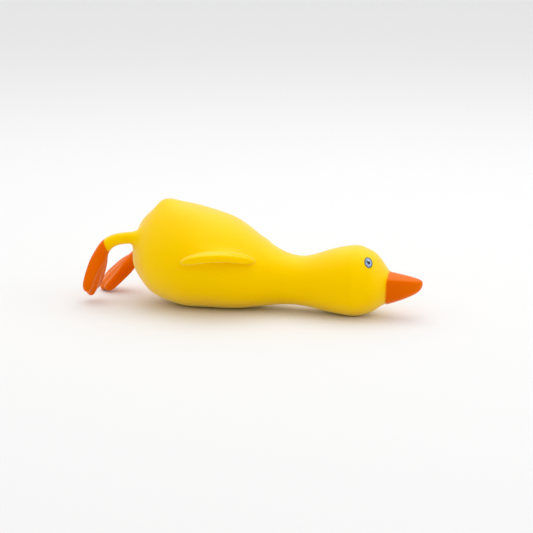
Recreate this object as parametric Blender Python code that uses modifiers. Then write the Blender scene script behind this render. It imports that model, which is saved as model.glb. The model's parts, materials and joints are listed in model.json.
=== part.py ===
"""Soft squeeze duck: one rubber moulding that lies on its belly with its chin on the table.

Metres. +X runs from the rump to the beak, +Y to the duck's left, +Z up, and Z = 0 is the table.
The origin is in the flat patch on which the belly rests.
The skin is one coarse cage that is then smoothed. Its rings are solved so that the smooth skin
passes through the sections that the sizes below describe. Wings, legs and feet grow out of it.
"""

import math
from collections import namedtuple

import bmesh
import bpy
import numpy as np
from mathutils import Vector

NAME = "squishy_duck"

# Trunk: widest at the belly, with a blunt rump behind it
BELLY_X = -0.0256
RUMP_LENGTH = 0.0329
RUMP_FULLNESS = 1.8
BODY_HEIGHT = 0.0554
BODY_WIDTH = 0.0610
BACK_LENGTH = 0.0170
SHOULDER_LENGTH = 0.0485

# Tail: a soft crest on the back, over the rump
TAIL_SETBACK = 0.0150
TAIL_RISE = 0.0083
TAIL_SPREAD = 0.0223
TAIL_NARROWNESS = 3
TAIL_CREASE = 0.25

# Neck: a thick stalk that arches a little clear of the table
NECK_HEIGHT = 0.0282
NECK_WIDTH = 0.0280
NAPE_LENGTH = 0.0317
BREAST_LENGTH = 0.0246
THROAT_SETBACK = 0.0019
THROAT_LIFT = 0.0043

# Head: a ball drawn out into the face
HEAD_HEIGHT = 0.0405
HEAD_WIDTH = 0.0390
FACE_LENGTH = 0.0223
FACE_SAG = 5

# Beak: a wedge with a shallow roof, a sharp edge along each side and a round keel
BEAK_SEAT = 0.0004
BEAK_LENGTH = 0.0192
BEAK_WIDTH = 0.0150
BEAK_ROOF_RISE = 0.0062
BEAK_KEEL_DROP = 0.0128
BEAK_TIP_RISE = 0.0009
BEAK_EDGE_DROP = 0.0037
BEAK_KEEL_FULLNESS = 0.8
BEAK_ROOT_SLANT = 0.0022
BEAK_EDGE_CREASE = 0.40

# Wings: arched flaps along the sides
WING_FORWARD = 0.0258
WING_RISE = 0.0046
WING_LENGTH = 0.0415
WING_ROOT_LENGTH = 0.0370
WING_REACH = 0.0076
WING_END_REACH = 0.0030
WING_BLUNTNESS = 4
WING_THICKNESS = 0.0052
WING_RIM_THICKNESS = 0.0034
WING_RIM_LENGTH = 0.0390
WING_ARCH = 0.0045
WING_CREASE = 0.60

# Legs: round shanks that trail from the rump
SHANK_THICKNESS = 0.0076
ANKLE_THICKNESS = 0.0088
HIP_STEP = 0.0035
SHANK_STEP = 0.0094
ANKLE_STEP = 0.0088

# Feet: three toes joined by a web
PALM_STEP = 0.0085
WEB_STEP = 0.0120
TOE_STEP = 0.0106
TIP_STEP = 0.0040
PALM_WIDTH = 0.0116
FOOT_WIDTH = 0.0156
TIP_WIDTH = 0.0122
FOOT_THICKNESS = 0.0084
TIP_THICKNESS = 0.0046
WEB_THICKNESS = 0.0044
TOE_NOTCH = 0.0035
OUTER_TOE_SETBACK = 0.0048

# How each leg lies: downward and outward angle of each step from hip to toe tips, in degrees
RIGHT_POSE = ((0, 0), (5, 4), (30, 0), (68, -10), (71, -12), (74, -12), (75, -12))
LEFT_POSE = ((25, 20), (64, 30), (50, 57), (42, -3), (43, -6), (46, -6), (49, -6))

# How far each leg is turned about its own length, the left one with its inner side down
RIGHT_ROLL = 0
LEFT_ROLL = -24

# The belly, chin and left toes are pressed flat by the duck's own weight
PRESSED_DEPTH = 0.0004

# Cage: sides of a ring, and where the rings stand
RING_SIDES = 12
RUMP_RINGS = (0.92, 0.70)
TRUNK_RINGS = 8
FACE_RINGS = (0.28, 0.60, 0.86)
BEAK_RINGS = (0.0, 0.13, 0.48, 0.85)
WING_SPANS = 3
TOE_STRIPS = 4
CAGE_EXCESS = 0.0012
SMOOTHING = 2

# Places that follow from the sizes
TAIL_X = BELLY_X - TAIL_SETBACK
SHOULDER_X = BELLY_X + BACK_LENGTH
BREAST_X = BELLY_X + BREAST_LENGTH
NECK_X = SHOULDER_X + SHOULDER_LENGTH
THROAT_X = NECK_X - THROAT_SETBACK
CROWN_X = NECK_X + NAPE_LENGTH
BEAK_ROOT_X = CROWN_X + FACE_LENGTH - BEAK_SEAT
HEAD_Z = HEAD_HEIGHT / 2 - PRESSED_DEPTH
BEAK_TOP_Z = HEAD_Z + BEAK_ROOF_RISE
BEAK_BOTTOM_Z = HEAD_Z - BEAK_KEEL_DROP
BEAK_TIP_Z = HEAD_Z + BEAK_TIP_RISE
BEAK_EDGE_SIDE = RING_SIDES // 6
WING_X = BELLY_X + WING_FORWARD
WING_Z = BODY_HEIGHT / 2 - PRESSED_DEPTH + WING_RISE

SKIN_YELLOW = (0.95, 0.56, 0.0, 1.0)
PAINT_ORANGE = (0.80, 0.13, 0.01, 1.0)
SATIN = 0.45

LegLoop = namedtuple("LegLoop", "step width thickness toed toes_end")

LEG_LOOPS = (
    LegLoop(HIP_STEP, SHANK_THICKNESS, SHANK_THICKNESS, False, False),
    LegLoop(SHANK_STEP, SHANK_THICKNESS, SHANK_THICKNESS, False, False),
    LegLoop(ANKLE_STEP, ANKLE_THICKNESS, ANKLE_THICKNESS, False, False),
    LegLoop(PALM_STEP, PALM_WIDTH, FOOT_THICKNESS, False, False),
    LegLoop(WEB_STEP, FOOT_WIDTH, FOOT_THICKNESS, True, False),
    LegLoop(TOE_STEP, FOOT_WIDTH, FOOT_THICKNESS, True, True),
    LegLoop(TIP_STEP, TIP_WIDTH, TIP_THICKNESS, True, True),
)
ANKLE_LOOP = 2
PALM_LOOP = 3


def clear_scene():
    for obj in list(bpy.data.objects):
        bpy.data.objects.remove(obj)


def smooth_step(value, start, end):
    share = min(max((value - start) / (end - start), 0.0), 1.0)
    return share * share * (3.0 - 2.0 * share)


def blend(first, second, share):
    return first + (second - first) * share


def along_duck(x, body, neck, head):
    """A size that runs from the body's value through the neck's to the head's."""
    size = blend(body, neck, smooth_step(x, SHOULDER_X, NECK_X))
    return blend(size, head, smooth_step(x, NECK_X, CROWN_X))


def underside(x):
    lift = smooth_step(x, BREAST_X, THROAT_X) - smooth_step(x, THROAT_X, CROWN_X)
    return THROAT_LIFT * lift - PRESSED_DEPTH


def trunk_section(x):
    """Half width, half height and middle height of the oval section at x, from belly to crown."""
    half_width = along_duck(x, BODY_WIDTH, NECK_WIDTH, HEAD_WIDTH) / 2
    half_height = along_duck(x, BODY_HEIGHT, NECK_HEIGHT, HEAD_HEIGHT) / 2
    return half_width, half_height, underside(x) + half_height


def rump_section(x):
    half_width, half_height, middle = trunk_section(BELLY_X)
    reach = (BELLY_X - x) / RUMP_LENGTH
    size = (1.0 - reach ** RUMP_FULLNESS) ** (1.0 / RUMP_FULLNESS)
    return half_width * size, half_height * size, middle


def face_section(x):
    half_width, half_height, middle = trunk_section(CROWN_X)
    reach = (x - CROWN_X) / FACE_LENGTH
    size = math.sqrt(1.0 - reach ** 2)
    beak_middle = (BEAK_TOP_Z + BEAK_BOTTOM_Z) / 2
    return half_width * size, half_height * size, blend(middle, beak_middle, reach ** FACE_SAG)


def ring_angle(side):
    return 2.0 * math.pi * side / RING_SIDES


def oval_ring(x, section):
    half_width, half_height, middle = section
    angles = [ring_angle(side) for side in range(RING_SIDES)]
    return [(x, -half_width * math.sin(a), middle + half_height * math.cos(a)) for a in angles]


def raise_tail(x, ring):
    """The tail is a soft crest on the back, highest at TAIL_X."""
    rise = TAIL_RISE * math.exp(-(((x - TAIL_X) / TAIL_SPREAD) ** 2))
    crests = [max(math.cos(ring_angle(side)), 0.0) ** TAIL_NARROWNESS for side in range(RING_SIDES)]
    return [(px, py, pz + rise * crest) for (px, py, pz), crest in zip(ring, crests)]


def beak_ring(reach):
    """A section of the beak: a shallow roof down to the side edges, and a round keel below."""
    taper = math.sqrt(1.0 - reach)
    top = blend(BEAK_TIP_Z, BEAK_TOP_Z, taper)
    edge = top - BEAK_EDGE_DROP * taper
    keel = blend(BEAK_TIP_Z, BEAK_BOTTOM_Z, taper)
    keel_side = RING_SIDES // 2
    ring = []
    for side in range(RING_SIDES):
        from_top = min(side, RING_SIDES - side)
        if from_top <= BEAK_EDGE_SIDE:
            across = from_top / BEAK_EDGE_SIDE
            z = blend(top, edge, across ** 2)
        else:
            turn = math.pi / 2 * (from_top - BEAK_EDGE_SIDE) / (keel_side - BEAK_EDGE_SIDE)
            across = max(math.cos(turn), 0.0) ** BEAK_KEEL_FULLNESS
            z = blend(edge, keel, math.sin(turn))
        hand = -1.0 if side < keel_side else 1.0
        slant = BEAK_ROOT_SLANT * (1.0 - reach) * (top - z) / (top - keel)
        x = BEAK_ROOT_X + reach * BEAK_LENGTH - slant
        ring.append((x, hand * across * taper * BEAK_WIDTH / 2, z))
    return ring


def skin_sections():
    """Points of the skin, ring by ring from the rump to the beak, with each end as a point."""
    rump_end = (BELLY_X - RUMP_LENGTH, 0.0, trunk_section(BELLY_X)[2])
    beak_end = (BEAK_ROOT_X + BEAK_LENGTH, 0.0, BEAK_TIP_Z)
    rump_xs = [BELLY_X - reach * RUMP_LENGTH for reach in RUMP_RINGS] + [TAIL_X]
    trunk_xs = [blend(BELLY_X, CROWN_X, i / (TRUNK_RINGS - 1)) for i in range(TRUNK_RINGS)]
    face_xs = [CROWN_X + reach * FACE_LENGTH for reach in FACE_RINGS]
    rings = [[rump_end] * RING_SIDES]
    rings += [raise_tail(x, oval_ring(x, rump_section(x))) for x in rump_xs]
    rings += [raise_tail(x, oval_ring(x, trunk_section(x))) for x in trunk_xs]
    rings += [oval_ring(x, face_section(x)) for x in face_xs]
    rings += [beak_ring(reach) for reach in BEAK_RINGS]
    rings.append([beak_end] * RING_SIDES)
    return np.array(rings)


def cage_through(sections):
    """Cage points whose smoothed skin passes through the sections, round each ring and along.

    At the beak's root the cage keeps the section itself, so that a hollow fillet forms there.
    """
    count, sides, _ = sections.shape
    root_ring = count - 1 - len(BEAK_RINGS)
    around = (4 * np.eye(sides) + np.roll(np.eye(sides), 1, 0) + np.roll(np.eye(sides), -1, 0)) / 6
    along = np.eye(count)
    for ring in range(1, count - 1):
        if ring != root_ring:
            along[ring, ring - 1:ring + 2] = (1 / 6, 4 / 6, 1 / 6)
    rounded = np.array([np.linalg.solve(around, ring) for ring in sections])
    return np.linalg.solve(along, rounded.reshape(count, -1)).reshape(sections.shape)


def build_skin(bm, points):
    """A ball whose rings are moved to the cage points, each vertex marked with ring and side."""
    last = len(points) - 1
    bmesh.ops.create_uvsphere(bm, u_segments=RING_SIDES, v_segments=last, radius=1.0)
    ring_mark = bm.verts.layers.int["ring"]
    side_mark = bm.verts.layers.int["side"]
    for vert in bm.verts:
        ring = last - round(math.acos(max(-1.0, min(1.0, vert.co.z))) * last / math.pi)
        side = round(math.atan2(vert.co.y, vert.co.x) * RING_SIDES / (2.0 * math.pi)) % RING_SIDES
        vert[ring_mark] = ring
        vert[side_mark] = 0 if ring in (0, last) else side
        vert.co = points[ring][vert[side_mark]]


def skin_grid(bm):
    """The skin's own vertices by ring and side, without what has grown out of it."""
    ring_mark = bm.verts.layers.int["ring"]
    side_mark = bm.verts.layers.int["side"]
    return {(v[ring_mark], v[side_mark]): v for v in bm.verts if v[ring_mark] >= 0}


def skin_face(bm, grid, ring, side):
    beside = (side + 1) % RING_SIDES
    corners = (grid[ring, side], grid[ring + 1, side], grid[ring + 1, beside], grid[ring, beside])
    return bm.faces.get(corners)


def crease_edge(bm, first, second, sharpness):
    layer = bm.edges.layers.float["crease_edge"]
    bm.edges.get((first, second))[layer] = sharpness


def crease_beak(bm, root_ring, last_ring):
    """Sharpens the beak's side edges."""
    grid = skin_grid(bm)
    for side in (BEAK_EDGE_SIDE, RING_SIDES - BEAK_EDGE_SIDE):
        for ring in range(root_ring, last_ring - 1):
            crease_edge(bm, grid[ring, side], grid[ring + 1, side], BEAK_EDGE_CREASE)


def extrude(bm, faces):
    """Pulls a patch of faces out of the skin. Returns the moved faces and their vertices."""
    made = bmesh.ops.extrude_face_region(bm, geom=faces)["geom"]
    bmesh.ops.delete(bm, geom=[face for face in faces if face.is_valid], context="FACES")
    patch = [item for item in made if isinstance(item, bmesh.types.BMFace)]
    verts = [item for item in made if isinstance(item, bmesh.types.BMVert)]
    ring_mark = bm.verts.layers.int["ring"]
    for vert in verts:
        vert[ring_mark] = -1
    return patch, verts


def side_of_body(x, z):
    """How far the skin lies from the middle plane at this place."""
    half_width, half_height, middle = trunk_section(max(x, BELLY_X))
    height = (z - middle) / half_height
    return half_width * math.sqrt(max(1.0 - height ** 2, 0.0))


def place_wing_loop(bm, verts, hand, length, share):
    across = bm.verts.layers.float["across"]
    thick = bm.verts.layers.float["thick"]
    for vert in verts:
        x = WING_X + vert[across] * length / 2
        middle = WING_Z + WING_ARCH * (1.0 - vert[across] ** 2)
        reach = blend(WING_END_REACH, WING_REACH, 1.0 - vert[across] ** WING_BLUNTNESS)
        y = side_of_body(x, middle) + CAGE_EXCESS + reach * share
        thickness = WING_RIM_THICKNESS if share == 1.0 else WING_THICKNESS
        vert.co = (x, hand * y, middle + vert[thick] * thickness / 2)


def grow_wing(bm, belly_ring, hand):
    """Pulls a flap out of the side in three loops: root, middle and rim."""
    across = bm.verts.layers.float["across"]
    thick = bm.verts.layers.float["thick"]
    crease = bm.edges.layers.float["crease_edge"]
    grid = skin_grid(bm)
    upper = BEAK_EDGE_SIDE if hand < 0 else RING_SIDES - BEAK_EDGE_SIDE
    lower = upper - hand
    for span in range(WING_SPANS + 1):
        for side, level in ((upper, 1.0), (lower, -1.0)):
            vert = grid[belly_ring + span, side]
            vert[across] = 2.0 * span / WING_SPANS - 1.0
            vert[thick] = level
    patch = [skin_face(bm, grid, belly_ring + span, min(upper, lower)) for span in range(WING_SPANS)]
    for length, share in ((WING_ROOT_LENGTH, 0.0), (WING_LENGTH, 0.5), (WING_RIM_LENGTH, 1.0)):
        patch, verts = extrude(bm, patch)
        place_wing_loop(bm, verts, hand, length, share)
        if share == 0.0:
            rim = {edge for face in patch for edge in face.edges if not edge_inside(edge, patch)}
            for edge in rim:
                edge[crease] = WING_CREASE


def edge_inside(edge, patch):
    return all(face in patch for face in edge.link_faces)


def step_axes(pose, roll, hand):
    """Direction of a step of the leg, the outward direction and the sole's side of the foot."""
    drop = math.radians(pose[0])
    splay = math.radians(pose[1])
    turn = math.radians(roll)
    ahead = Vector((-math.cos(splay), hand * math.sin(splay), 0.0))
    beside = Vector((math.sin(splay), hand * math.cos(splay), 0.0))
    down = Vector((0.0, 0.0, -1.0))
    forward = ahead * math.cos(drop) + down * math.sin(drop)
    below = down * math.cos(drop) - ahead * math.sin(drop)
    outward = beside * math.cos(turn) + below * math.sin(turn)
    sole = below * math.cos(turn) - beside * math.sin(turn)
    return forward, outward, sole


def between_toes(across):
    """One in the web between two toes, and zero along the middle of each toe."""
    return math.sin(math.pi * abs(across)) ** 2


def place_leg_loop(bm, verts, centre, axes, loop):
    """Sets a loop of the leg square to its axes; in the foot, thick along each of three toes."""
    across = bm.verts.layers.float["across"]
    thick = bm.verts.layers.float["thick"]
    forward, outward, sole = axes
    for vert in verts:
        web = between_toes(vert[across])
        thickness = loop.thickness
        if loop.toed:
            thickness *= blend(1.0, WEB_THICKNESS / FOOT_THICKNESS, web)
        setback = 0.0
        if loop.toes_end:
            setback = OUTER_TOE_SETBACK * abs(vert[across]) + TOE_NOTCH * web
        spread = outward * (vert[across] * loop.width / 2)
        depth = sole * (vert[thick] * thickness / 2)
        vert.co = centre + spread + depth - forward * setback


def mark_hip(bm, grid, hand):
    """Marks the corners of the rump face that the leg grows from, and returns that face."""
    across = bm.verts.layers.float["across"]
    thick = bm.verts.layers.float["thick"]
    inner = 1 if hand < 0 else RING_SIDES - 1
    outer = inner - hand
    for ring, level in ((1, 1.0), (2, -1.0)):
        for side, place in ((inner, -1.0), (outer, 1.0)):
            grid[ring, side][across] = place
            grid[ring, side][thick] = level
    return skin_face(bm, grid, 1, min(inner, outer))


def split_palm(bm, face):
    """Cuts the end of the palm into strips, so that the loops beyond can form three toes."""
    across = bm.verts.layers.float["across"]
    end = bm.verts.layers.int["end"]
    for vert in bm.verts:
        vert[end] = int(vert in face.verts)
    wide = [edge for edge in face.edges if edge.verts[0][across] != edge.verts[1][across]]
    bmesh.ops.subdivide_edges(bm, edges=wide, cuts=TOE_STRIPS - 1, use_grid_fill=True)
    return [piece for piece in bm.faces if all(vert[end] for vert in piece.verts)]


def grow_leg(bm, hand, pose, roll):
    painted = bm.verts.layers.int["painted"]
    hip = mark_hip(bm, skin_grid(bm), hand)
    centre = hip.calc_center_median()
    patch = [hip]
    for number, loop in enumerate(LEG_LOOPS):
        angles = pose[number]
        ahead = pose[min(number + 1, len(pose) - 1)]
        centre = centre + step_axes(angles, roll, hand)[0] * loop.step
        axes = step_axes([(here + there) / 2 for here, there in zip(angles, ahead)], roll, hand)
        patch, verts = extrude(bm, patch)
        place_leg_loop(bm, verts, centre, axes, loop)
        for vert in verts:
            vert[painted] = int(number >= ANKLE_LOOP)
        if number == PALM_LOOP:
            patch = split_palm(bm, patch[0])


def build_cage():
    bm = bmesh.new()
    bm.verts.layers.float.new("across")
    bm.verts.layers.float.new("thick")
    bm.verts.layers.int.new("painted")
    bm.verts.layers.int.new("ring")
    bm.verts.layers.int.new("side")
    bm.verts.layers.int.new("end")
    bm.verts.layers.float.new("crease_vert")
    bm.edges.layers.float.new("crease_edge")
    sections = skin_sections()
    build_skin(bm, cage_through(sections))
    return bm, len(sections) - 1


def paint_faces(bm, root_ring):
    """The beak and the feet wear orange paint, with its edge along a ring of the cage."""
    painted = bm.verts.layers.int["painted"]
    for (ring, _), vert in skin_grid(bm).items():
        if ring >= root_ring:
            vert[painted] = 1
    for face in bm.faces:
        face.smooth = True
        face.material_index = int(all(vert[painted] for vert in face.verts))


def add_material(mesh, name, colour):
    material = bpy.data.materials.new(name)
    material.use_nodes = True
    surface = material.node_tree.nodes["Principled BSDF"]
    surface.inputs["Base Color"].default_value = colour
    surface.inputs["Roughness"].default_value = SATIN
    surface.inputs["Metallic"].default_value = 0.0
    material.diffuse_color = colour
    mesh.materials.append(material)


def add_cage_object(collection):
    bm, last_ring = build_cage()
    root_ring = last_ring - len(BEAK_RINGS)
    belly_ring = len(RUMP_RINGS) + 2
    crease_beak(bm, root_ring, last_ring)
    skin_grid(bm)[belly_ring - 1, 0][bm.verts.layers.float["crease_vert"]] = TAIL_CREASE
    for hand, pose, roll in ((-1, RIGHT_POSE, RIGHT_ROLL), (1, LEFT_POSE, LEFT_ROLL)):
        grow_wing(bm, belly_ring, hand)
        grow_leg(bm, hand, pose, roll)
    paint_faces(bm, root_ring)
    mesh = bpy.data.meshes.new(NAME + "_cage")
    bm.to_mesh(mesh)
    bm.free()
    add_material(mesh, "yellow_rubber", SKIN_YELLOW)
    add_material(mesh, "orange_paint", PAINT_ORANGE)
    cage = bpy.data.objects.new(NAME + "_cage", mesh)
    collection.objects.link(cage)
    smooth = cage.modifiers.new("smooth_skin", "SUBSURF")
    smooth.levels = SMOOTHING
    smooth.render_levels = SMOOTHING
    cage.hide_render = True
    cage.display_type = "WIRE"
    return cage


def press_on_table(mesh):
    for vert in mesh.vertices:
        vert.co.z = max(vert.co.z, 0.0)


def add_duck(collection, cage):
    bpy.context.view_layer.update()
    evaluated = cage.evaluated_get(bpy.context.evaluated_depsgraph_get())
    mesh = bpy.data.meshes.new_from_object(evaluated)
    mesh.name = NAME
    press_on_table(mesh)
    duck = bpy.data.objects.new(NAME, mesh)
    collection.objects.link(duck)
    return duck


def add_collection(name):
    collection = bpy.data.collections.new(name)
    bpy.context.scene.collection.children.link(collection)
    return collection


def main():
    clear_scene()
    cage = add_cage_object(add_collection("cages"))
    add_duck(add_collection("squishy_duck_toy"), cage)


main()
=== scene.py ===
import json
import math

import bpy
from mathutils import Matrix, Vector

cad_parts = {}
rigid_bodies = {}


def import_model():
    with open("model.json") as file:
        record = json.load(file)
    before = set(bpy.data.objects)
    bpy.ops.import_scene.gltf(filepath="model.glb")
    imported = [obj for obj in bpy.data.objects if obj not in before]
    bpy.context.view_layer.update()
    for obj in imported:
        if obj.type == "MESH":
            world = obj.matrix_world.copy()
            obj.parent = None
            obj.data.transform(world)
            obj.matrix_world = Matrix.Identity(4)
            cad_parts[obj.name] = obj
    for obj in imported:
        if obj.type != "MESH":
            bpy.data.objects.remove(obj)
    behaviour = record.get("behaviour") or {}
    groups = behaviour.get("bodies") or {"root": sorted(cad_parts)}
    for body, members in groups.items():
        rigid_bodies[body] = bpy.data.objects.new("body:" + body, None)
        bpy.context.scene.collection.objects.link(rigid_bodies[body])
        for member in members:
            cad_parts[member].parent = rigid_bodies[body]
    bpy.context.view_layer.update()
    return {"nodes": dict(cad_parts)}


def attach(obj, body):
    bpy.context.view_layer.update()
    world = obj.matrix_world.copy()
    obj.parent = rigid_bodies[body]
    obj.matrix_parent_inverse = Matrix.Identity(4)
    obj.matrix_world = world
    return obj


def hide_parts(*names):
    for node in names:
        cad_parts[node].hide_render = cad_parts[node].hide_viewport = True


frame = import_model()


# The duck itself. One soft rubber moulding: body, neck, head, beak, wings, legs and feet are one
# skin with a satin surface. Beak and feet were sprayed orange through a mask, so the edge of the
# paint is a little soft. The yellow next to the paint is warmed orange as painted light: a
# painted glow of orange light bounced from the paint into the rubber.
class Field:
    """A value spread over a surface. Arithmetic on it adds Math nodes; make() adds any other."""

    def __init__(self, tree, socket=None):
        self.tree = tree
        self.socket = socket

    def make(self, kind, settings, inputs, output=0):
        """Adds a node: its settings first, then the values or links of its sockets."""
        node = self.tree.nodes.new("ShaderNode" + kind)
        for name, value in settings.items():
            setattr(node, name, value)
        for name, value in inputs.items():
            if isinstance(value, Field):
                self.tree.links.new(value.socket, node.inputs[name])
            else:
                node.inputs[name].default_value = value
        return Field(self.tree, node.outputs[output])

    def math(self, operation, *values):
        return self.make("Math", {"operation": operation}, dict(enumerate(values)))

    def __add__(self, other):
        return self.math("ADD", self, other)

    def __radd__(self, other):
        return self.math("ADD", other, self)

    def __sub__(self, other):
        return self.math("SUBTRACT", self, other)

    def __rsub__(self, other):
        return self.math("SUBTRACT", other, self)

    def __mul__(self, other):
        return self.math("MULTIPLY", self, other)

    def __rmul__(self, other):
        return self.math("MULTIPLY", other, self)

    def __pow__(self, other):
        return self.math("POWER", self, other)

    def step(self, start, end):
        """Zero before start and one after end, with a smooth change between."""
        ends = {"Value": self, "From Min": start, "From Max": end}
        return self.make("MapRange", {"interpolation_type": "SMOOTHSTEP"}, ends)

    def between(self, start, end):
        """A colour between two, by this value."""
        return self.make("Mix", {"data_type": "RGBA"}, {0: self, 6: start, 7: end}, 2)

    def noise(self, scale, detail=2.0):
        """Mottling of this place, finer for a larger scale, from zero to one."""
        return self.make("TexNoise", {}, {"Vector": self, "Scale": scale, "Detail": detail})

    def part(self, axis):
        """This place's distance along one axis."""
        return self.make("SeparateXYZ", {}, {0: self}, axis)

    def past(self, point, way):
        """How far this place lies beyond a plane through the point, along its normal."""
        away = self.make("VectorMath", {"operation": "SUBTRACT"}, {0: self, 1: point})
        return self.make("VectorMath", {"operation": "DOT_PRODUCT"}, {0: away, 1: way}, "Value")

    def distance_from(self, point):
        ends = {0: self, 1: point}
        return self.make("VectorMath", {"operation": "DISTANCE"}, ends, "Value")


def new_finish(name):
    """A material, its surface shader, and the place on the object as a field."""
    material = bpy.data.materials.new(name)
    material.use_nodes = True
    tree = material.node_tree
    place = Field(tree).make("TexCoord", {}, {}, "Object")
    return material, tree.nodes["Principled BSDF"], place


def feed(surface, **fields):
    """Links fields or sets values on a shader's own sockets."""
    for name, value in fields.items():
        socket = surface.inputs[name.replace("_", " ")]
        if isinstance(value, Field):
            value.tree.links.new(value.socket, socket)
        else:
            socket.default_value = value


MERGE_DISTANCE = 0.00001
QUAD_ANGLE = math.radians(60)
SHARP_FOLD = math.radians(22)
BEAK_START = 0.090
FOLD_CREASE = 0.8
WING_BACK = -0.048
WING_FRONT = 0.045
WING_IN = 0.018
WING_PUFF = 0.0005
WING_SMOOTHING = 2
KEEL_START = 0.0892
KEEL_END = 0.0935
KEEL_TOP = 0.0115
KEEL_SMOOTHING = 3
HALF_WAY = 0.5

bpy.ops.object.select_all(action="DESELECT")
duck = bpy.data.objects.new("duck", frame["nodes"]["squishy_duck"].data.copy())
bpy.context.scene.collection.objects.link(duck)
duck.select_set(True)
bpy.context.view_layer.objects.active = duck
bpy.ops.mesh.customdata_custom_splitnormals_clear()
bpy.ops.object.mode_set(mode="EDIT")
bpy.ops.mesh.select_all(action="SELECT")
bpy.ops.mesh.remove_doubles(threshold=MERGE_DISTANCE)
bpy.ops.mesh.tris_convert_to_quads(face_threshold=QUAD_ANGLE, shape_threshold=QUAD_ANGLE)
bpy.ops.mesh.select_mode(type="EDGE")
bpy.ops.mesh.select_all(action="DESELECT")
bpy.ops.mesh.edges_select_sharp(sharpness=SHARP_FOLD)
bpy.ops.object.mode_set(mode="OBJECT")
fold_middles = {
    edge.index: sum((duck.data.vertices[v].co for v in edge.vertices), Vector()) / 2
    for edge in duck.data.edges if edge.select
}

# The folds of the beak stay crisp, and the rims of the wings are rounded and puffed.
for number, middle in fold_middles.items():
    duck.data.edges[number].select = middle.x > BEAK_START
bpy.ops.object.mode_set(mode="EDIT")
bpy.ops.transform.edge_crease(value=FOLD_CREASE)
bpy.ops.mesh.select_all(action="DESELECT")
bpy.ops.object.mode_set(mode="OBJECT")
for number, middle in fold_middles.items():
    on_wing = WING_BACK < middle.x < WING_FRONT and abs(middle.y) > WING_IN
    duck.data.edges[number].select = on_wing
bpy.ops.object.mode_set(mode="EDIT")
bpy.ops.mesh.select_mode(type="VERT")
bpy.ops.mesh.select_more()
bpy.ops.mesh.vertices_smooth(factor=HALF_WAY, repeat=WING_SMOOTHING)
bpy.ops.transform.shrink_fatten(value=WING_PUFF)
bpy.ops.object.mode_set(mode="OBJECT")


def nudge(place, move, reach):
    """Pulls the skin a little at one place, with what lies within reach following softly."""
    bpy.ops.object.mode_set(mode="EDIT")
    bpy.ops.mesh.select_all(action="DESELECT")
    bpy.ops.object.mode_set(mode="OBJECT")
    nearest = min(duck.data.vertices, key=lambda vert: (vert.co - Vector(place)).length)
    nearest.select = True
    bpy.ops.object.mode_set(mode="EDIT")
    bpy.ops.transform.translate(
        value=move, use_proportional_edit=True, proportional_edit_falloff="SMOOTH",
        proportional_size=reach,
    )
    bpy.ops.object.mode_set(mode="OBJECT")


TAIL_TIP = ((-0.0368, 0.0, 0.0605), (0.0, 0.0, 0.0016), 0.010)
LOWER_BACK = ((-0.0230, 0.0, 0.0595), (0.0, 0.0, -0.0009), 0.016)
TAIL_SLOPE = ((-0.0438, 0.0, 0.0575), (0.0, 0.0, -0.0008), 0.007)
RUMP_SLOPE = ((-0.0530, 0.0, 0.0480), (-0.0006, 0.0, 0.0005), 0.012)
KEEL_ROOT = ((0.0908, 0.0, 0.0083), (0.0003, 0.0, -0.0010), 0.0028)
for place_move_reach in (TAIL_TIP, LOWER_BACK, TAIL_SLOPE, RUMP_SLOPE, KEEL_ROOT):
    nudge(*place_move_reach)
for vert in duck.data.vertices:
    vert.select = KEEL_START < vert.co.x < KEEL_END and vert.co.z < KEEL_TOP
bpy.ops.object.mode_set(mode="EDIT")
bpy.ops.mesh.vertices_smooth(factor=HALF_WAY, repeat=KEEL_SMOOTHING)
bpy.ops.object.mode_set(mode="OBJECT")
skin = duck.modifiers.new("skin", "SUBSURF")
skin.levels = 1
skin.render_levels = 1
bpy.ops.object.modifier_apply(modifier="skin")
bpy.ops.object.shade_smooth()

RUBBER_YELLOW = (0.980, 0.625, 0.0, 1.0)
RUBBER_DEEP = (0.965, 0.575, 0.0, 1.0)
# Painted bounce light: the orange glow laid on the yellow next to the paint.
PAINTED_BOUNCE_YELLOW = (0.955, 0.420, 0.0, 1.0)
PAINT_ORANGE = (0.830, 0.138, 0.0, 1.0)
PAINT_DEEP = (0.760, 0.092, 0.0, 1.0)
WARM_GLOSS = (1.0, 0.80, 0.25, 1.0)
POWDER_SHEEN = (1.0, 0.92, 0.72, 1.0)
CLOUD_SCALE = 34.0
GRAIN_SCALE = 2600.0
GRAIN_DETAIL = 3.0
GRAIN_STRENGTH = 0.12
GRAIN_DEPTH = 0.0001
RUBBER_ROUGHNESS = 0.44
CLOUD_ROUGHNESS = 0.08
FEET_ROUGHNESS = 0.22

# The edges of the mask, each a plane through one point, and how the paint meets the rubber there.
BEAK_EDGE = (0.0923, 0.0, 0.0166)
BEAK_WAY = (0.996, 0.0, -0.090)
RIGHT_ANKLE = (-0.0708, -0.0138, 0.0340)
RIGHT_ANKLE_WAY = (-0.948, -0.011, -0.318)
LEFT_ANKLE = (-0.0575, 0.0155, 0.0300)
LEFT_ANKLE_WAY = (-0.62, 0.30, -0.72)
RIGHT_SIDE = (0.004, 0.003)
BEHIND_RUMP = (-0.056, -0.058)
RUMP_MIDDLE = (-0.0256, 0.0, 0.0300)
RUMP_RADIUS = (0.0333, 0.0339)
PAINT_SOFTNESS = 0.0006
# How far and how strongly the painted orange bounce light reaches into the yellow.
PAINTED_BOUNCE_REACH = 0.0028
PAINTED_BOUNCE_STRENGTH = 0.35
WAVER_SCALE = 240.0
WAVER_WIDTH = 0.0006

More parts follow.
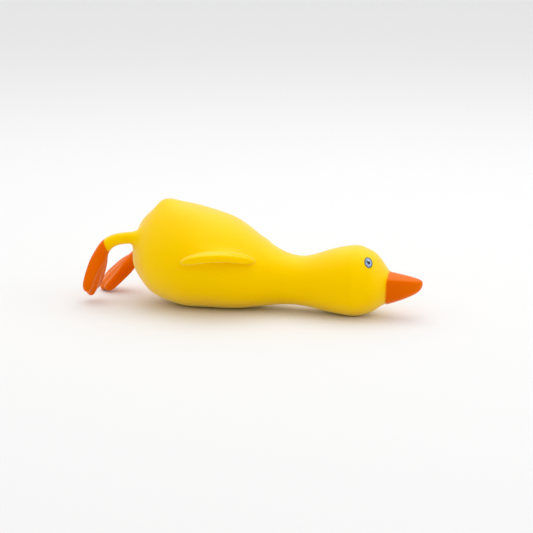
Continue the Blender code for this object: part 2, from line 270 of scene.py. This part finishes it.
rubber, rubber_surface, place = new_finish("duck_rubber")
cloud = place.noise(CLOUD_SCALE)
grain = place.noise(GRAIN_SCALE, GRAIN_DETAIL)
waver = (place.noise(WAVER_SCALE) - 0.5) * WAVER_WIDTH
on_right = place.part("Y").step(*RIGHT_SIDE)
behind = place.part("X").step(*BEHIND_RUMP)
off_rump = place.distance_from(RUMP_MIDDLE).step(*RUMP_RADIUS)


def sprayed_past(edge, way, softness):
    """Where paint lies beyond one edge of the mask."""
    return (place.past(edge, way) + waver).step(-softness, PAINT_SOFTNESS)


def sprayed_feet(softness):
    right = sprayed_past(RIGHT_ANKLE, RIGHT_ANKLE_WAY, softness)
    left = sprayed_past(LEFT_ANKLE, LEFT_ANKLE_WAY, softness)
    return (right * on_right + left * (1.0 - on_right) * off_rump) * behind


def sprayed(softness):
    return sprayed_past(BEAK_EDGE, BEAK_WAY, softness) + sprayed_feet(softness)


feet = sprayed_feet(PAINT_SOFTNESS)
paint = sprayed(PAINT_SOFTNESS)
yellow = cloud.between(RUBBER_YELLOW, RUBBER_DEEP)
# Painted light: the yellow beside the paint is warmed orange, standing for light bounced from the
# paint.
yellow = (sprayed(PAINTED_BOUNCE_REACH) * PAINTED_BOUNCE_STRENGTH).between(yellow, PAINTED_BOUNCE_YELLOW)
orange = cloud.between(PAINT_ORANGE, PAINT_DEEP)
grain_bump = {"Strength": GRAIN_STRENGTH, "Distance": GRAIN_DEPTH, "Height": grain}
feed(
    rubber_surface,
    Base_Color=paint.between(yellow, orange),
    Roughness=RUBBER_ROUGHNESS + cloud * CLOUD_ROUGHNESS + feet * FEET_ROUGHNESS,
    Normal=place.make("Bump", {}, grain_bump),
    Subsurface_Weight=0.30,
    Subsurface_Radius=(0.8, 0.35, 0.05),
    Subsurface_Scale=0.008,
    Specular_IOR_Level=0.55,
    Specular_Tint=WARM_GLOSS,
    Sheen_Weight=0.42,
    Sheen_Roughness=0.40,
    Sheen_Tint=POWDER_SHEEN,
)
duck.data.materials.clear()
duck.data.materials.append(rubber)
duck.data.polygons.foreach_set("material_index", [0] * len(duck.data.polygons))
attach(duck, "root")
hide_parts("squishy_duck")


# Eyes: one printed on each side of the head, as a thin pad of enamel ink that follows the skin.
# Each has a slate ring round a streaky blue iris, a teal arc, a navy pupil and a small white
# spot, a painted highlight printed in the ink. The left eye is the right one mirrored.
EYE_PLACE = Vector((0.0829, -0.0103, 0.0331))
EYE_OUT = Vector((0.496, -0.554, 0.668)).normalized()
EYE_LEAN = Vector((-0.170, 0.693, 0.701))
EYE_LONG = (EYE_LEAN - EYE_OUT * EYE_LEAN.dot(EYE_OUT)).normalized()
EYE_SHORT = EYE_LONG.cross(EYE_OUT)
EYE_HALF_LENGTH = 0.00345
EYE_HALF_WIDTH = 0.00244
EYE_SIDES = 48
INK_RINGS = 5
INK_HEIGHT = 0.00012
INK_EDGE_ANGLE = math.radians(40)
INK_ROUGHNESS = 0.25
STREAK_ROUGHNESS = 0.05
STREAK_SCALE = 2200.0
STREAK_EDGES = (0.35, 0.65)
STREAK_STRENGTH = 0.6
TEAL_STRENGTH = 0.8
RING_EDGES = (0.70, 0.86)
SLATE = (0.050, 0.075, 0.110, 1.0)
IRIS_BLUE = (0.250, 0.370, 0.620, 1.0)
IRIS_PALE = (0.470, 0.590, 0.830, 1.0)
TEAL = (0.040, 0.150, 0.220, 1.0)
NAVY = (0.004, 0.010, 0.030, 1.0)
# The white of a spot painted as a highlight on the printed eye.
HIGHLIGHT_WHITE = (0.900, 0.930, 0.980, 1.0)

ink, ink_surface, place = new_finish("eye_ink")
sideways = place.part("Y")
mirrored = place.make("CombineXYZ", {}, {
    "X": place.part("X"), "Y": -1.0 * sideways.math("ABSOLUTE", sideways), "Z": place.part("Z"),
})
along = mirrored.past(EYE_PLACE, EYE_LONG) * (1.0 / EYE_HALF_LENGTH)
across = mirrored.past(EYE_PLACE, EYE_SHORT) * (1.0 / EYE_HALF_WIDTH)
from_middle = (along * along + across * across) ** 0.5


def spot(at_long, at_short, inner, outer):
    """One inside a round spot on the eye, and zero outside it."""
    offset = (along - at_long) ** 2.0 + (across - at_short) ** 2.0
    return (offset ** 0.5).step(outer, inner)


teal_arc = spot(0.10, -0.42, 0.10, 0.42)
pupil = spot(-0.02, 0.04, 0.28, 0.46)
# The white spot is a painted highlight, laid in the eye's ink.
painted_highlight_spot = spot(0.30, 0.05, 0.05, 0.17)
streaks = mirrored.noise(STREAK_SCALE).step(*STREAK_EDGES)
iris = (streaks * STREAK_STRENGTH).between(IRIS_BLUE, IRIS_PALE)
iris = (teal_arc * TEAL_STRENGTH).between(iris, TEAL)
iris = from_middle.step(*RING_EDGES).between(iris, SLATE)
iris = pupil.between(iris, NAVY)
feed(
    ink_surface,
    Base_Color=painted_highlight_spot.between(iris, HIGHLIGHT_WHITE),
    Roughness=INK_ROUGHNESS + streaks * STREAK_ROUGHNESS,
    Specular_IOR_Level=0.4,
)
for name, hand in (("right_eye", 1.0), ("left_eye", -1.0)):
    mirror = Matrix.Diagonal((1.0, hand, 1.0))
    bpy.ops.object.select_all(action="DESELECT")
    bpy.ops.mesh.primitive_circle_add(vertices=EYE_SIDES, radius=1.0, fill_type="NGON")
    eye = bpy.context.object
    eye.name = name
    bpy.ops.object.mode_set(mode="EDIT")
    bpy.ops.mesh.select_all(action="SELECT")
    for _ in range(INK_RINGS - 1):
        bpy.ops.mesh.inset(thickness=1.0 / INK_RINGS)
    bpy.ops.mesh.poke()
    bpy.ops.object.mode_set(mode="OBJECT")
    axes = Matrix((EYE_LONG * EYE_HALF_LENGTH, EYE_SHORT * EYE_HALF_WIDTH, EYE_OUT)).transposed()
    eye.data.transform((mirror @ axes).to_4x4())
    eye.data.transform(Matrix.Translation(mirror @ EYE_PLACE))
    bpy.ops.object.mode_set(mode="EDIT")
    bpy.ops.mesh.select_all(action="SELECT")
    bpy.ops.mesh.normals_make_consistent(inside=False)
    bpy.ops.object.mode_set(mode="OBJECT")
    wrap = eye.modifiers.new("wrap", "SHRINKWRAP")
    wrap.target = duck
    wrap.wrap_mode = "ABOVE_SURFACE"
    wrap.offset = INK_HEIGHT
    bpy.ops.object.modifier_apply(modifier="wrap")
    body = eye.modifiers.new("body", "SOLIDIFY")
    body.thickness = 2.0 * INK_HEIGHT
    body.offset = -1.0
    bpy.ops.object.modifier_apply(modifier="body")
    bpy.ops.object.shade_smooth_by_angle(angle=INK_EDGE_ANGLE)
    eye.data.materials.append(ink)
    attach(eye, "root")


# Floor: a wide sheet of pale matt board on which the duck lies. It is part of the studio and
# not of the object.
FLOOR_WHITE = (0.785, 0.785, 0.785, 1.0)
FLOOR_WIDTH = 30.0
bpy.ops.object.select_all(action="DESELECT")
bpy.ops.mesh.primitive_plane_add(size=FLOOR_WIDTH, location=(0.0, 0.0, 0.0))
floor = bpy.context.object
floor.name = "floor"
board, board_surface, _ = new_finish("pale_board")
feed(board_surface, Base_Color=FLOOR_WHITE, Roughness=0.7, Specular_IOR_Level=0.1)
floor.data.materials.append(board)


# Light: one soft box above the duck, a weaker one beyond its beak and a wide one over the far
# floor, in a bright white room that is dimmer near the floor. The picture's darkest blues are
# held down a little, as in the photograph, where the yellow has no blue left in it.
def add_softbox(name, place, aim, width, power):
    light = bpy.data.lights.new(name, "AREA")
    light.shape = "SQUARE"
    light.size = width
    light.energy = power
    lamp = bpy.data.objects.new(name, light)
    lamp.location = place
    lamp.rotation_euler = (Vector(aim) - Vector(place)).to_track_quat("-Z", "Y").to_euler()
    bpy.context.scene.collection.objects.link(lamp)


DUCK_MIDDLE = (0.0, 0.0, 0.0)
FAR_FLOOR = (-0.6, 2.2, 0.0)
add_softbox("overhead", place=(0.0, 0.25, 0.95), aim=DUCK_MIDDLE, width=1.0, power=3.4)
add_softbox("right", place=(1.3, 0.1, 0.55), aim=DUCK_MIDDLE, width=0.8, power=2.0)
add_softbox("far", place=(-0.6, 2.2, 1.4), aim=FAR_FLOOR, width=2.0, power=1.2)

DOME_LOW = 0.56
DOME_HIGH = 1.0
DOME_RISE = (-0.10, 0.60)
DOME_WHITE = (1.0, 1.0, 1.0, 1.0)
world = bpy.data.worlds.new("light_dome")
world.use_nodes = True
dome = world.node_tree.nodes["Background"]
height = Field(world.node_tree).make("TexCoord", {}, {}, "Generated").part("Z")
brightness = DOME_LOW + height.step(*DOME_RISE) * (DOME_HIGH - DOME_LOW)
feed(dome, Color=DOME_WHITE, Strength=brightness)
bpy.context.scene.world = world

BLUE_CHANNEL = 2
BLUE_TOE = ((0.014, 0.0), (0.06, 0.045), (0.18, 0.18))
picture = bpy.context.scene.view_settings
picture.view_transform = "Standard"
picture.use_curve_mapping = True
blue_curve = picture.curve_mapping.curves[BLUE_CHANNEL]
for light_in, light_out in BLUE_TOE:
    blue_curve.points.new(light_in, light_out)
for point in blue_curve.points:
    point.handle_type = "VECTOR"
picture.curve_mapping.update()


# Camera: at the photograph's angle, 15 degrees off the duck's right side and 13 degrees above
# the table, a metre away. The duck's origin falls on one chosen pixel of the square frame.
AZIMUTH = math.radians(15.0)
ELEVATION = math.radians(13.3)
DISTANCE = 1.0
METRES_PER_PIXEL = 0.00058
FRAME_PIXELS = 533
ORIGIN_PIXEL = (231.0, 305.9)
right = Vector((math.cos(AZIMUTH), math.sin(AZIMUTH), 0.0))
level_back = Vector((math.sin(AZIMUTH), -math.cos(AZIMUTH), 0.0))
back = level_back * math.cos(ELEVATION) + Vector((0.0, 0.0, math.sin(ELEVATION)))
up = back.cross(right)
target = right * (FRAME_PIXELS / 2 - ORIGIN_PIXEL[0]) * METRES_PER_PIXEL
target += up * (ORIGIN_PIXEL[1] - FRAME_PIXELS / 2) * METRES_PER_PIXEL
lens = bpy.data.cameras.new("camera")
lens.angle = 2.0 * math.atan(FRAME_PIXELS / 2 * METRES_PER_PIXEL / DISTANCE)
camera = bpy.data.objects.new("camera", lens)
turn = Matrix((right, up, back)).transposed().to_4x4()
camera.matrix_world = Matrix.Translation(target + back * DISTANCE) @ turn
bpy.context.scene.collection.objects.link(camera)
bpy.context.scene.camera = camera
